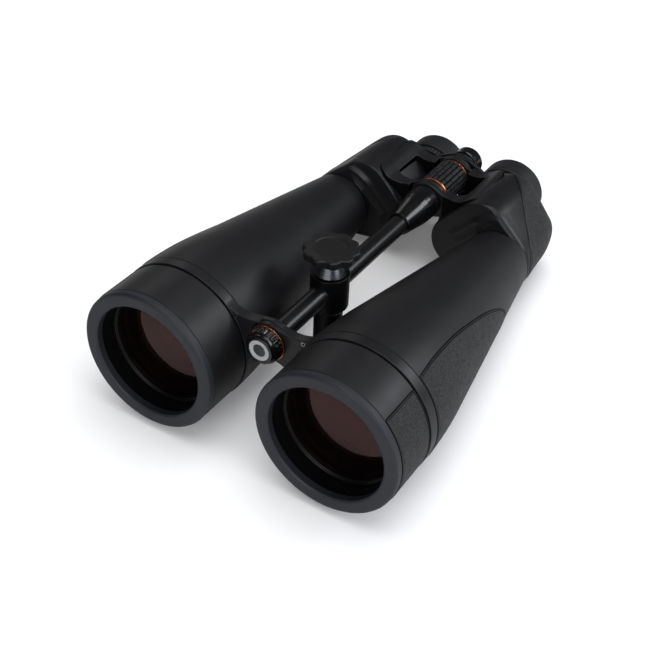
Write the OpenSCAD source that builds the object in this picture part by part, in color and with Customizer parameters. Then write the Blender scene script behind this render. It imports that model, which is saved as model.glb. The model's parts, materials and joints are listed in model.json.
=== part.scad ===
// Large-aperture astronomy binoculars with a centre-rod hinge and a sliding tripod post.
//
// Every sub-part is drawn in instrument coordinates: Y is the station behind the front
// rim of the hoods, the two objective axes lie in the plane z = 0, and x = 0 is the
// plane of symmetry. placed() then lays the whole instrument down on z = 0 as it rests
// on a table, on its barrels and on its eyecups, so it points slightly upwards.
// "left" and "right" are the sides of the person who looks through it.

/* [Layout] */
// Distance between the two objective axes
objective_spacing = 139; // [137:0.5:142]
// Distance between the two eyepiece axes
eyepiece_spacing = 68.6; // [66:0.2:71]
// Height of the eyepiece axes above the objective axes
eyepiece_rise = -0.5; // [-1:0.1:1]
// Height of the hinge axis above the objective axes
hinge_rise = 22.5; // [22:0.5:23]

/* [Objectives] */
// Clear aperture of each objective
aperture_d = 80; // [78:0.5:81]
// Outside diameter of each hood
hood_d = 104; // [103:0.5:106]
// Length of each hood, rim included
hood_length = 40.8; // [40:0.2:41]
// Length of the soft rim
rim_length = 6; // [5:0.5:8]
// Diameter of the rim's opening
lip_d = 84; // [83:0.5:86]

/* [Barrels] */
// Station where the barrel ends in the prism housing
barrel_end = 243; // [241:0.5:244]
// Outside radius of the barrel behind the band
barrel_front_r = 52.6; // [52:0.1:53]
// Outside radius of the barrel at its rear end
barrel_rear_r = 25.4; // [25:0.1:27]
// Thickness of the rubber armour on the barrel
armour_t = 2.4; // [1.6:0.2:3]

/* [Bridges] */
// Radius of the hinge lugs
lug_r = 14.1; // [13.8:0.1:14.4]
// Radius of the hinge axle
axle_r = 4; // [3.6:0.1:4.2]
// Radius of the hinge rod
rod_r = 7.5; // [7.2:0.1:7.8]

/* [Focuser] */
// Outside radius of the focus wheel's rubber grip
grip_r = 13.8; // [13.4:0.1:14]
// Radius of the threaded focus stem
stem_r = 6; // [5.6:0.1:6.2]

/* [Eyepieces] */
// Outside radius of the eyecups
eyecup_r = 26.1; // [25:0.1:26.4]
// Station of the eyecups' rear rims
eyecup_end = 349.3; // [348:0.1:351]

/* [Tripod post] */
// Station of the post's axis on the hinge rod
post_station = 116; // [80:1:180]
// Height of the post's foot above the objective axes
foot_rise = -38; // [-39:0.5:-36]
// Bore radius of the 1/4-20 tripod thread
thread_r = 3.175; // [3.175:0.001:3.175]

/* [Hidden] */
$fn = 96;

// The sides: the left barrel is at +X, and the right one is its mirror image.
LEFT = 1;
RIGHT = -1;

// Clearances
running = 0.05;
gap = 0.3;

// Optical axes, as [x, z]
objective = [objective_spacing / 2, 0];
eyepiece = [eyepiece_spacing / 2, eyepiece_rise];
half_offset = (objective - eyepiece) / 2;
between_prisms = eyepiece + half_offset + [-half_offset[1], half_offset[0]];
prism_angle = atan2(between_prisms[1] - objective[1], between_prisms[0] - objective[0]);
prism_reach = norm(objective - between_prisms);

// Stations of the hood and the lens cell
hood_r = hood_d / 2;
lip_r = lip_d / 2;
clear_r = aperture_d / 2;
cell_front = 17;
cell_rear = 39;
tube_front = 22;
tube_t = 1.8;
neck_r = 48;
neck_wall = 2.4;
lens_r = clear_r + 1.4;
crown_edge = 23.6;
lens_seat = 35.4;

// Radii of curvature of the lens faces, front to rear, and the crown's edge thickness
crown_front_R = 190;
crown_rear_R = 170;
flint_rear_R = 600;
crown_edge_t = 2.9;
airspace = 0.2;

// Front bridge: the band round the barrel and the web to the hinge
band_front = 41.3;
band_rear = 49.3;
band_r = 52.8;
front_lug = [41.6, 45.6, 49.9];

// Barrel taper
flare_start = 50;
flare_end = 93;
taper_slope = 0.157;
flare_slope = 0.02;

// Prism housing: the lobes' radii about the eyepiece, middle and objective axes
housing_front = 246.5;
housing_rear = 303.5;
cover_t = 2.5;
collar_r = 27.8;
collar_shift = [-1.2, 0.8];
housing_slices = [
    [housing_front, [21, 21.5, 24.4]],
    [housing_front + 4, [23, 23.3, 25.3]],
    [266, [24, 24.1, 24.1]],
    [286, [24, 23.4, 22.7]],
    [housing_rear, [22.2, 21.9, 18.8]]
];
cover_lobes = [21.6, 21.4, 18];
wall = 2.5;
skin = 2;
beam_r = 18;
cover_screws = [[58, 32], [82, 7], [75.5, -13.2], [40.8, -18.4]];
web_screw = [26.4, 32.6];

// The edge of the stippled armour: a plane across the housing's outer corner.
seam_at = [89, 255];
seam_angle = 38.7;

// Rear bridge and hinge
mid_lug = [255, 259.3, 263.9];
rear_lug = [301.6, 304.3, 307.3];
rear_web_front = 296;
sleeve_wall = 253.4;
boss_r = 8.9;
bridge_front = mid_lug[0];
bridge_rear = rear_lug[2];

// Focuser
wheel_front = 264.8;
wheel_rear = 301;
ring_w = 1.8;
core_r = 12.4;
stem_front = 273.6;
arm_station = [311.8, 315.6];
arm_t = 3.5;
rear_cap_front = 319.4;
rear_cap_rear = 331.6;

// Eyepieces
ocular_r = 17.5;
nose_r = 13.2;
nose_bore = 11.4;
ocular_front = 283;
body_station = 321.9;
body_r = 20.4;
ocular_rear = 344;
cup_front = 329;
sleeve_r = 22;
guide_rear = 306.4;
diopter = [322, 328.4];

// Tripod post, with heights above the objective axes
head_r = 13.8;
head_bottom = 8.5;
head_top = 35.4;
head_taper = 4;
stem_post_r = 10.2;
foot_r = 12.5;
foot_t = 5;
insert_r = 6;
insert_length = 12;
knob_r = 19.4;
knob_top = 56;
knob_bottom = 49.5;
neck_top = 45;
clamp_neck_r = 10.5;
screw_r = 4;
scallops = 10;

// The rest pose on a table: the barrels' flares and the eyecups' rims touch it.
rest_station = 74;
cup_rim = 2.2;
rest_pitch = atan2(
    barrel_r(rest_station) - (eyecup_r - eyepiece_rise), eyecup_end - cup_rim - rest_station
);
rest_lift = barrel_r(rest_station) * cos(rest_pitch) + rest_station * sin(rest_pitch);
rest_middle = 172.9;

// ---------------------------------------------------------------- helpers

// From instrument coordinates to the row's frame.
module placed() {
    translate([0, -rest_middle, rest_lift])
        rotate([-rest_pitch, 0, 0])
            children();
}

// The children belong to one side: drawn at +X, mirrored for the right side.
module on_side(side) {
    placed()
        if (side == LEFT) children();
        else mirror([1, 0, 0]) children();
}

// Moves to an axis that runs along Y through [x, z].
module about(axis_xz) {
    translate([axis_xz[0], 0, axis_xz[1]]) children();
}

// A solid of revolution about Y from a list of [station, radius].
module turned(profile) {
    rotate([-90, 0, 0])
        rotate_extrude()
            polygon([for (p = profile) [p[1], p[0]]]);
}

module tube(from, to, outer, inner) {
    turned([[from, inner], [to, inner], [to, outer], [from, outer]]);
}

module disc(from, to, radius) {
    turned([[from, 0], [to, 0], [to, radius], [from, radius]]);
}

// A flat plate across Y, its outline given in X and Z.
module plate(from, to) {
    translate([0, to, 0])
        rotate([90, 0, 0])
            linear_extrude(to - from)
                children();
}

// How far a spherical face of radius R has fallen back at radius r.
function sag(R, r) = R - sqrt(R * R - r * r);

// Outside radius of the barrel at a station: a soft flare that runs into a straight taper.
function flare_r(y) =
    barrel_front_r - flare_slope * (y - flare_start)
    - (taper_slope - flare_slope) * pow(y - flare_start, 2) / (2 * (flare_end - flare_start));
function barrel_r(y) =
    y < flare_end ? flare_r(y)
    : flare_r(flare_end) + (barrel_rear_r - flare_r(flare_end))
        * (y - flare_end) / (barrel_end - flare_end);

// ---------------------------------------------------------------- objectives

module hood_rim(side) {
    corner_r = 3.6;
    corner = [for (a = [0:15:90]) [
        corner_r - corner_r * sin(a) + 0.4,
        hood_r - corner_r + corner_r * cos(a)
    ]];
    color("#3a3d42")
        on_side(side) about(objective)
            turned(concat(
                [[rim_length, lip_r + 0.6], [rim_length, hood_r]],
                corner,
                [[0, hood_r - corner_r - 1.4], [1.4, lip_r]]
            ));
}

module hood(side) {
    color("#232427")
        on_side(side) about(objective)
            turned([
                [rim_length, lip_r + 0.6], [cell_front - 0.1, lip_r + 0.6],
                [cell_front - 0.1, neck_r + running], [hood_length - 0.2, neck_r + running],
                [hood_length - 0.2, hood_r - 1], [hood_length - 0.8, hood_r],
                [rim_length, hood_r]
            ]);
}

module lens_cell(side) {
    cell_r = neck_r - neck_wall;
    seat = lens_seat + 0.2;
    color("#161616")
        on_side(side) about(objective)
            turned([
                [cell_front, 43.6], [21.6, 43.6], [21.6, lens_r + running],
                [seat, lens_r + running], [seat, clear_r - 1.2],
                [cell_rear, clear_r - 1.2], [cell_rear, cell_r], [cell_front, cell_r]
            ]);
}

module retaining_ring(side) {
    color("#2c2c2e")
        on_side(side) about(objective)
            turned([
                [18, clear_r + 0.2], [crown_edge - 0.2, clear_r + 0.2],
                [crown_edge - 0.2, lens_r], [21.5, lens_r], [21.5, 43.5], [18, 43.5]
            ]);
}

module crown_lens(side) {
    steps = 8;
    front_vertex = crown_edge - sag(crown_front_R, lens_r);
    rear_vertex = crown_edge + crown_edge_t + sag(crown_rear_R, lens_r);
    color("#5c2a26", 0.6)
        on_side(side) about(objective)
            turned(concat(
                [for (i = [0:steps]) [
                    front_vertex + sag(crown_front_R, lens_r * i / steps), lens_r * i / steps
                ]],
                [for (i = [steps:-1:0]) [
                    rear_vertex - sag(crown_rear_R, lens_r * i / steps), lens_r * i / steps
                ]]
            ));
}

module flint_lens(side) {
    steps = 8;
    front_vertex = crown_edge + crown_edge_t + airspace + sag(crown_rear_R, lens_r);
    rear_vertex = lens_seat + sag(flint_rear_R, lens_r);
    color("#c9b8b0", 0.5)
        on_side(side) about(objective)
            turned(concat(
                [for (i = [0:steps]) [
                    front_vertex - sag(crown_rear_R, lens_r * i / steps), lens_r * i / steps
                ]],
                [for (i = [steps:-1:0]) [
                    rear_vertex - sag(flint_rear_R, lens_r * i / steps), lens_r * i / steps
                ]]
            ));
}

// ---------------------------------------------------------------- barrels

flare_stations = [for (y = [56:6:92]) y];

module barrel_tube(side) {
    outer = [for (y = flare_stations) [y, barrel_r(y) - armour_t]];
    inner = [for (p = outer) [p[0], p[1] - tube_t]];
    end = barrel_end - 1.5;
    rear_r = barrel_r(end) - armour_t;
    color("#1c1d1f")
        on_side(side) about(objective)
            turned(concat(
                [[tube_front, neck_r], [flare_start + 2, neck_r]],
                outer,
                [[end, rear_r], [end, rear_r - tube_t]],
                [for (i = [len(inner) - 1:-1:0]) inner[i]],
                [[flare_start + 2, neck_r - neck_wall], [tube_front, neck_r - neck_wall]]
            ));
}

module barrel_armour(side) {
    front = band_rear + 0.4;
    outer = [for (y = flare_stations) [y, barrel_r(y)]];
    color("#26272a")
        on_side(side) about(objective)
            turned(concat(
                [[front, neck_r], [front, barrel_front_r - 0.5], [front + 0.6, barrel_front_r]],
                outer,
                [[barrel_end - 2, barrel_r(barrel_end - 2)],
                 [barrel_end - 2, barrel_r(barrel_end - 2) - armour_t]],
                [for (i = [len(outer) - 1:-1:0]) [outer[i][0], outer[i][1] - armour_t]],
                [[flare_start + 2, neck_r]]
            ));
}

// ---------------------------------------------------------------- front bridge

// Outline of a web from the hinge to a point inboard of the barrel, hanging like a chain.
module web_outline(top, bottom) {
    polygon(concat(top, [for (i = [len(bottom) - 1:-1:0]) bottom[i]]));
}

front_web_top = [
    [0, 36.4], [6, 35.9], [12, 34.4], [18, 33.6], [24, 34.2], [29, 35.8], [33, 38.2], [37, 41.6]
];
front_web_bottom = [[0, 8.6], [7, 8.4], [13, 6.2], [20, 2]];

// Cuts a web away round the hinge except in its own lug, and bores that lug.
module hinged(from, to, own, bore) {
    difference() {
        children();
        about([0, hinge_rise]) {
            if (own[0] > from + gap / 2) disc(from - 1, own[0], lug_r + gap);
            if (own[1] < to - gap / 2) disc(own[1], to + 1, lug_r + gap);
            disc(from - 2, to + 2, bore);
        }
        translate([-lug_r - 30, from - 2, -30]) cube([30, to - from + 4, 100]);
    }
}

module front_bridge(side) {
    own = side == LEFT ? [front_lug[0], front_lug[1]] : [front_lug[1] + gap, front_lug[2]];
    band = [band_front, band_rear];
    color("#202124")
        on_side(side)
            hinged(front_lug[0], front_lug[2], own, axle_r + running)
                difference() {
                    union() {
                        about(objective) tube(band[0], band[1], band_r, neck_r);
                        plate(band[0] + 0.3, band[1])
                            difference() {
                                web_outline(front_web_top, front_web_bottom);
                                translate(objective) circle(neck_r + 2);
                                translate([-10, 0]) square([10, 60]);
                            }
                        about([0, hinge_rise]) disc(own[0], own[1], lug_r);
                    }
                    about(web_screw) disc(band[0] - 1, band[0] + 2.6, 1.5);
                }
}

module bridge_screws(side) {
    color("#b9bcc0")
        on_side(side) {
            about(web_screw)
                difference() {
                    disc(band_front + 0.3, band_front + 2.6, 1.5);
                    plate(band_front, band_front + 1.2) circle(0.8, $fn = 6);
                }
            for (spot = cover_screws)
                about(spot)
                    difference() {
                        disc(housing_rear + cover_t - 0.4, housing_rear + cover_t + 0.7, 1.9);
                        plate(housing_rear + cover_t + 0.1, housing_rear + cover_t + 2)
                            circle(0.9, $fn = 6);
                    }
        }
}

// ---------------------------------------------------------------- prism housings

// One outline of the three lobes, as a thin slice for hull().
module lobe_slice(station, radii, inset = 0) {
    axes = [eyepiece, between_prisms, objective];
    for (i = [0:2])
        about(axes[i])
            disc(station, station + 0.01, radii[i] - inset, $fn = 32);
}

// The housing's solid outline; the cavity, with a large inset, also starts further back.
module housing_block(inset) {
    setback = max(inset - skin, 0);
    hull()
        for (i = [0:len(housing_slices) - 1])
            lobe_slice(
                housing_slices[i][0] + (i < 2 ? setback : 0), housing_slices[i][1], inset
            );
}

module cover_block() {
    hull() {
        lobe_slice(housing_rear + 0.02, housing_slices[4][1], 0.3);
        lobe_slice(housing_rear + cover_t - 0.01, cover_lobes);
    }
}

// Everything outside and behind the seam of the stippled armour.
module beyond_seam() {
    translate([seam_at[0], seam_at[1], 0])
        rotate([0, 0, seam_angle])
            translate([0, -150, -100])
                cube([150, 300, 200]);
}

module prism_housing(side) {
    color("#242528")
        on_side(side)
            difference() {
                union() {
                    difference() {
                        housing_block(0);
                        beyond_seam();
                    }
                    intersection() {
                        housing_block(skin);
                        beyond_seam();
                    }
                    about(objective + collar_shift)
                        disc(barrel_end - 1.5, housing_front + 6, collar_r);
                }
                intersection() {
                    housing_block(skin + wall);
                    plate(housing_front + wall, housing_rear + 1) square(240, center = true);
                }
                plate(housing_rear, housing_rear + 3) square(240, center = true);
                about(objective) disc(barrel_end - 3, housing_front + 9, beam_r);
            }
}

module housing_armour(side) {
    color("#1f2022")
        on_side(side)
            difference() {
                intersection() {
                    housing_block(0);
                    beyond_seam();
                }
                housing_block(skin);
                about(objective + collar_shift) disc(barrel_end - 3, housing_front + 6, collar_r);
                plate(housing_rear, housing_rear + 3) square(240, center = true);
            }
}

module rear_cover(side) {
    color("#1b1c1e")
        on_side(side)
            difference() {
                union() {
                    cover_block();
                    about(eyepiece) disc(housing_rear + 0.02, guide_rear, nose_r + 3.2);
                }
                about(eyepiece) disc(housing_rear - 2, guide_rear + 1, nose_r + running);
                for (spot = cover_screws)
                    about(spot) disc(housing_rear + cover_t - 0.4, housing_rear + cover_t + 1, 1.9);
            }
}

// A Porro prism with a blunt roof, its long face across Y.
module porro_prism(centre, angle, station, height) {
    half_length = prism_reach + 0.2;
    width = 22;
    translate([centre[0], station, centre[1]])
        rotate([0, -angle, 0])
            linear_extrude(width, center = true)
                polygon([[-half_length, 0], [half_length, 0], [3, height], [-3, height]]);
}

module front_prism(side) {
    color("#dfe9ea", 0.5)
        on_side(side)
            porro_prism((eyepiece + between_prisms) / 2, prism_angle - 90, 271.8, -21);
}

module rear_prism(side) {
    color("#dfe9ea", 0.5)
        on_side(side)
            porro_prism((objective + between_prisms) / 2, prism_angle, 274.2, 22);
}

// ---------------------------------------------------------------- rear bridge

rear_web_top = [
    [0, 36.4], [5, 35.8], [10, 33.2], [15, 31.2], [20, 30.6], [25, 31.2], [30, 33.2],
    [34, 35.8], [37, 37.9], [40, 39.2], [44, 39.9], [48, 39.9]
];
rear_web_bottom = [[0, 8.8], [10, 10.5], [20, 15], [28, 20], [48, 28]];
window = [15.2, 30.5];

// A rib below the window, along the housing's inner corner.
sill = [[8, -4], [14, -4], [14, 11], [10, 11]];

module rear_bridge(side) {
    mid_own = side == LEFT ? [mid_lug[0], mid_lug[1]] : [mid_lug[1] + gap, mid_lug[2]];
    rear_own = side == LEFT ? [rear_lug[0], rear_lug[1]] : [rear_lug[1] + gap, rear_lug[2]];
    hinge = [0, hinge_rise];
    color("#202124")
        on_side(side)
            difference() {
                union() {
                    difference() {
                        plate(bridge_front, bridge_rear) web_outline(rear_web_top, rear_web_bottom);
                        translate([-1, mid_lug[2], -10])
                            cube([window[1] + 1, rear_web_front - mid_lug[2], 80]);
                        about(hinge) disc(bridge_front - 1, rear_lug[0], lug_r + gap);
                        about(hinge) disc(rear_lug[0] - 1, bridge_rear + 1, lug_r + gap);
                        translate([-10, bridge_front - 1, -10]) cube([10, 70, 80]);
                    }
                    difference() {
                        plate(mid_own[0], mid_own[1]) web_outline(rear_web_top, rear_web_bottom);
                        translate([-10, bridge_front - 1, -10]) cube([10, 70, 80]);
                    }
                    about(hinge) disc(mid_own[0], mid_own[1], lug_r);
                    difference() {
                        plate(rear_own[0], rear_own[1]) web_outline(rear_web_top, rear_web_bottom);
                        translate([-10, bridge_front - 1, -10]) cube([10, 70, 80]);
                    }
                    about(hinge) disc(rear_own[0], rear_own[1], lug_r);
                    if (side == LEFT) about(hinge) disc(rear_lug[0], rear_lug[2], boss_r);
                    plate(mid_lug[2] - 1, rear_web_front + 1) polygon(sill);
                }
                housing_block(0);
                cover_block();
                about(hinge) disc(bridge_front - 1, mid_lug[2] + 1, axle_r + running);
                about(hinge)
                    disc(rear_lug[0] - 1, bridge_rear + 1,
                        side == LEFT ? stem_r + 0.4 : boss_r + running);
            }
}

// ---------------------------------------------------------------- hinge

module hinge_rod() {
    color("#2a2b2d")
        placed() about([0, hinge_rise])
            tube(front_lug[2] + 0.4, sleeve_wall, rod_r, axle_r);
}

module hinge_axle() {
    color("#9a9c9f")
        placed() about([0, hinge_rise])
            disc(32.9, 268, axle_r);
}

module rod_sleeve() {
    mouth = 212.5;
    color("#18191b")
        placed() about([0, hinge_rise])
            turned([
                [mouth, rod_r], [mouth, 8.4], [mouth + 0.6, 9], [219, 10], [226, 11.1],
                [233, 12.3], [239, 13], [244, 13.3], [251, 13.3], [252.6, 13],
                [mid_lug[0] - 0.4, 12.6], [mid_lug[0] - 0.4, axle_r], [sleeve_wall, axle_r],
                [sleeve_wall, rod_r]
            ]);
}

// The knurled knob on the front of the hinge, which sets how stiffly the halves fold.
module tension_knob() {
    front = 32.6;
    rear = 40;
    flute_count = 24;
    color("#151516")
        placed() about([0, hinge_rise])
            difference() {
                turned([
                    [front, 0], [front, 11.2], [front + 1, 12.2], [rear, 12.6], [rear, 0]
                ]);
                disc(front - 1, rear + 1, axle_r + running);
                for (i = [0:flute_count - 1])
                    rotate([0, i * 360 / flute_count, 0])
                        translate([12.9, 0, 0])
                            disc(front + 1.6, rear - 1.2, 0.9, $fn = 16);
            }
}

module tension_badge() {
    color("#e8e8e6")
        placed() about([0, hinge_rise])
            turned([[30.2, 0], [30.2, 9.8], [31.0, 10.6], [32.6, 10.6], [32.6, 0]]);
}

module tension_ring() {
    color("#c8643a")
        placed() about([0, hinge_rise])
            tube(40, 41.2, 13.5, axle_r + running);
}

// ---------------------------------------------------------------- focuser

module focus_core() {
    color("#1a1a1b")
        placed() about([0, hinge_rise])
            turned([
                [wheel_front, axle_r + running], [269, axle_r + running],
                [269, stem_r + running], [wheel_rear, stem_r + running],
                [wheel_rear, core_r - 0.6], [wheel_rear - ring_w, core_r - 0.6],
                [wheel_rear - ring_w, core_r], [wheel_front + ring_w, core_r],
                [wheel_front + ring_w, core_r - 0.6], [wheel_front, core_r - 0.6]
            ]);
}

module focus_grip() {
    rib_count = 30;
    front = wheel_front + ring_w;
    rear = wheel_rear - ring_w;
    color("#2b2c2e")
        placed() about([0, hinge_rise])
            difference() {
                tube(front, rear, grip_r, core_r);
                for (i = [0:rib_count - 1])
                    rotate([0, i * 360 / rib_count, 0])
                        translate([grip_r + 0.3, 0, 0])
                            disc(front + 1.2, rear - 1.2, 0.8, $fn = 16);
            }
}

module focus_rings() {
    color("#c8643a")
        placed() about([0, hinge_rise]) {
            tube(wheel_front, wheel_front + ring_w, 13.9, core_r - 0.6);
            tube(wheel_rear - ring_w, wheel_rear, 13.2, core_r - 0.6);
        }
}

module focus_stem() {
    color("#8d8f92")
        placed() about([0, hinge_rise])
            disc(stem_front, rear_cap_front + 6, stem_r);
}

module rear_cap() {
    color("#1a1a1b")
        placed() about([0, hinge_rise])
            turned([
                [rear_cap_front, stem_r], [rear_cap_front, 11.4], [rear_cap_front + 1, 12.2],
                [rear_cap_rear - 3, 12.2], [rear_cap_rear - 1, 11.2], [rear_cap_rear, 8.5],
                [rear_cap_rear, 0], [rear_cap_front + 6, 0], [rear_cap_front + 6, stem_r]
            ]);
}

// ---------------------------------------------------------------- eyepieces

module eyepiece_arm(side) {
    station = side == LEFT ? arm_station[0] : arm_station[1];
    bore = side == LEFT ? ocular_r : ocular_r + running;
    hinge = [0, hinge_rise];
    color("#1d1e20")
        on_side(side)
            difference() {
                union() {
                    plate(station, station + arm_t)
                        polygon([[-4, 33], [8, 31.5], [30, 20], [30, 4], [14, 4], [-4, 12]]);
                    about(hinge) disc(station, station + arm_t, 11);
                    about(eyepiece) disc(station, station + arm_t, ocular_r + 4);
                }
                about(hinge) disc(station - 1, station + arm_t + 1, stem_r + running);
                about(eyepiece) disc(station - 1, station + arm_t + 1, bore);
            }
}

// The left ocular carries a fixed collar where the right one has the dioptre ring.
module ocular(side) {
    step = side == LEFT ? arm_station[0] : arm_station[0] + 1.4;
    collar = side == LEFT
        ? [[diopter[0], ocular_r], [diopter[0], 24.2], [diopter[1], 24.2], [diopter[1], body_r]]
        : [[body_station, ocular_r], [body_station, body_r]];
    color("#1b1b1d")
        on_side(side) about(eyepiece)
            turned(concat(
                [[ocular_front, nose_bore], [ocular_front, nose_r], [step, nose_r],
                 [step, ocular_r]],
                collar,
                [[ocular_rear - 1, body_r], [ocular_rear, body_r - 1], [ocular_rear, 13.5],
                 [342, 12.2], [336, 12.2], [336, 10.6], [333, 10.6], [333, 14.5],
                 [step + 2.2, 14.5], [step + 2.2, nose_bore], [300, nose_bore],
                 [300, nose_bore - 1.4], [297, nose_bore - 1.4], [297, nose_bore]]
            ));
}

module field_lens(side) {
    color("#9fb0b4", 0.5)
        on_side(side) about(eyepiece)
            turned([
                [300, 0], [300, nose_bore], [304, nose_bore], [305.4, 9], [306.4, 5], [306.8, 0]
            ]);
}

module eye_lens(side) {
    color("#8a5a52", 0.6)
        on_side(side) about(eyepiece)
            turned([
                [336, 0], [336, 12.2], [339.2, 12.2], [340.6, 7], [341.2, 0]
            ]);
}

module eyecup_sleeve(side) {
    color("#3a3b3d")
        on_side(side) about(eyepiece)
            tube(cup_front + 1, ocular_rear + 1, sleeve_r, body_r + running);
}

module eyecup(side) {
    inner = sleeve_r + running;
    color("#1c1c1e")
        on_side(side) about(eyepiece)
            turned([
                [cup_front, inner], [cup_front, eyecup_r - 1.4], [cup_front + 1.2, eyecup_r - 0.5],
                [cup_front + 9, eyecup_r], [eyecup_end - cup_rim, eyecup_r],
                [eyecup_end - 0.7, eyecup_r - 0.7], [eyecup_end, eyecup_r - 2.2],
                [eyecup_end, 20.4], [eyecup_end - 1, 18.8], [ocular_rear + 1.6, 16.6],
                [ocular_rear + 1.3, 17.4], [ocular_rear + 1.3, inner]
            ]);
}

module diopter_ring() {
    rib_count = 36;
    color("#202123")
        on_side(RIGHT) about(eyepiece)
            difference() {
                tube(diopter[0], diopter[1], 24.2, body_r + running);
                for (i = [0:rib_count - 1])
                    rotate([0, i * 360 / rib_count, 0])
                        translate([24.5, 0, 0])
                            disc(diopter[0] + 1, diopter[1] - 1, 0.8, $fn = 16);
            }
}

// ---------------------------------------------------------------- tripod post

// Draws on the post's own vertical axis, with z as the height above the objective axes.
module on_post() {
    placed() translate([0, post_station, 0]) children();
}

module upright(from, to, radius) {
    translate([0, 0, from]) cylinder(h = to - from, r = radius);
}

module tripod_post() {
    color("#141415")
        on_post()
            difference() {
                union() {
                    upright(head_bottom, head_top, head_r);
                    translate([0, 0, head_bottom - head_taper])
                        cylinder(h = head_taper + 0.01, r1 = stem_post_r, r2 = head_r);
                    upright(foot_rise + foot_t - 0.5, head_bottom + 0.5, stem_post_r);
                    upright(foot_rise, foot_rise + foot_t, foot_r);
                }
                translate([0, -head_r - 1, hinge_rise])
                    rotate([-90, 0, 0]) cylinder(h = 2 * head_r + 2, r = rod_r + running);
                upright(hinge_rise, head_top + 1, screw_r + 2 + running);
                upright(foot_rise - 1, foot_rise + insert_length, insert_r);
            }
}

module thread_insert() {
    color("#b58a45")
        on_post()
            difference() {
                upright(foot_rise, foot_rise + insert_length, insert_r);
                upright(foot_rise - 1, foot_rise + insert_length + 1, thread_r);
            }
}

// Lobed knob, polished neck and clamp screw in one casting.
module clamp_knob() {
    scallop_r = 5.5;
    scallop_reach = knob_r + 3.7;
    color("#1e1f20")
        on_post()
            difference() {
                union() {
                    difference() {
                        upright(knob_bottom, knob_top, knob_r);
                        for (i = [0:scallops - 1])
                            rotate([0, 0, i * 360 / scallops])
                                translate([scallop_reach, 0, 0])
                                    upright(knob_bottom - 1, knob_top + 1, scallop_r);
                    }
                    upright(neck_top - 0.5, knob_bottom + 0.5, 12.5);
                    upright(head_top + gap, neck_top, clamp_neck_r);
                    upright(hinge_rise + rod_r + 3.6, head_top + 1, screw_r);
                }
                upright(knob_top - 0.8, knob_top + 1, 13.2);
            }
}

// The soft shoe that the clamp screw presses down on the rod.
module clamp_shoe() {
    bottom = hinge_rise + rod_r - 2;
    color("#45464a")
        on_post()
            difference() {
                upright(bottom, hinge_rise + rod_r + 3.3, screw_r + 2);
                translate([0, -10, hinge_rise])
                    rotate([-90, 0, 0]) cylinder(h = 20, r = rod_r + running);
            }
}

// ---------------------------------------------------------------- nodes

hood_rim(LEFT);  // left_hood_rim
hood(LEFT);  // left_hood
lens_cell(LEFT);  // left_lens_cell
retaining_ring(LEFT);  // left_retaining_ring
crown_lens(LEFT);  // left_crown_lens
flint_lens(LEFT);  // left_flint_lens
barrel_tube(LEFT);  // left_barrel_tube
barrel_armour(LEFT);  // left_barrel_armour
front_bridge(LEFT);  // left_front_bridge
bridge_screws(LEFT);  // left_bridge_screws
prism_housing(LEFT);  // left_prism_housing
housing_armour(LEFT);  // left_housing_armour
rear_cover(LEFT);  // left_rear_cover
front_prism(LEFT);  // left_front_prism
rear_prism(LEFT);  // left_rear_prism
rear_bridge(LEFT);  // left_rear_bridge
eyepiece_arm(LEFT);  // left_eyepiece_arm
ocular(LEFT);  // left_ocular
field_lens(LEFT);  // left_field_lens
eye_lens(LEFT);  // left_eye_lens
eyecup_sleeve(LEFT);  // left_eyecup_sleeve
eyecup(LEFT);  // left_eyecup
hood_rim(RIGHT);  // right_hood_rim
hood(RIGHT);  // right_hood
lens_cell(RIGHT);  // right_lens_cell
retaining_ring(RIGHT);  // right_retaining_ring
crown_lens(RIGHT);  // right_crown_lens
flint_lens(RIGHT);  // right_flint_lens
barrel_tube(RIGHT);  // right_barrel_tube
barrel_armour(RIGHT);  // right_barrel_armour
front_bridge(RIGHT);  // right_front_bridge
bridge_screws(RIGHT);  // right_bridge_screws
prism_housing(RIGHT);  // right_prism_housing
housing_armour(RIGHT);  // right_housing_armour
rear_cover(RIGHT);  // right_rear_cover
front_prism(RIGHT);  // right_front_prism
rear_prism(RIGHT);  // right_rear_prism
rear_bridge(RIGHT);  // right_rear_bridge
eyepiece_arm(RIGHT);  // right_eyepiece_arm
ocular(RIGHT);  // right_ocular
field_lens(RIGHT);  // right_field_lens
eye_lens(RIGHT);  // right_eye_lens
eyecup_sleeve(RIGHT);  // right_eyecup_sleeve
eyecup(RIGHT);  // right_eyecup
hinge_rod();
hinge_axle();
rod_sleeve();
tension_knob();
tension_badge();
tension_ring();
focus_core();
focus_grip();
focus_rings();
focus_stem();
rear_cap();
diopter_ring();
tripod_post();
thread_insert();
clamp_knob();
clamp_shoe();
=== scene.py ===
import json
import math

import bmesh
import bpy
import numpy as np
from mathutils import Matrix, Vector


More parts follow.
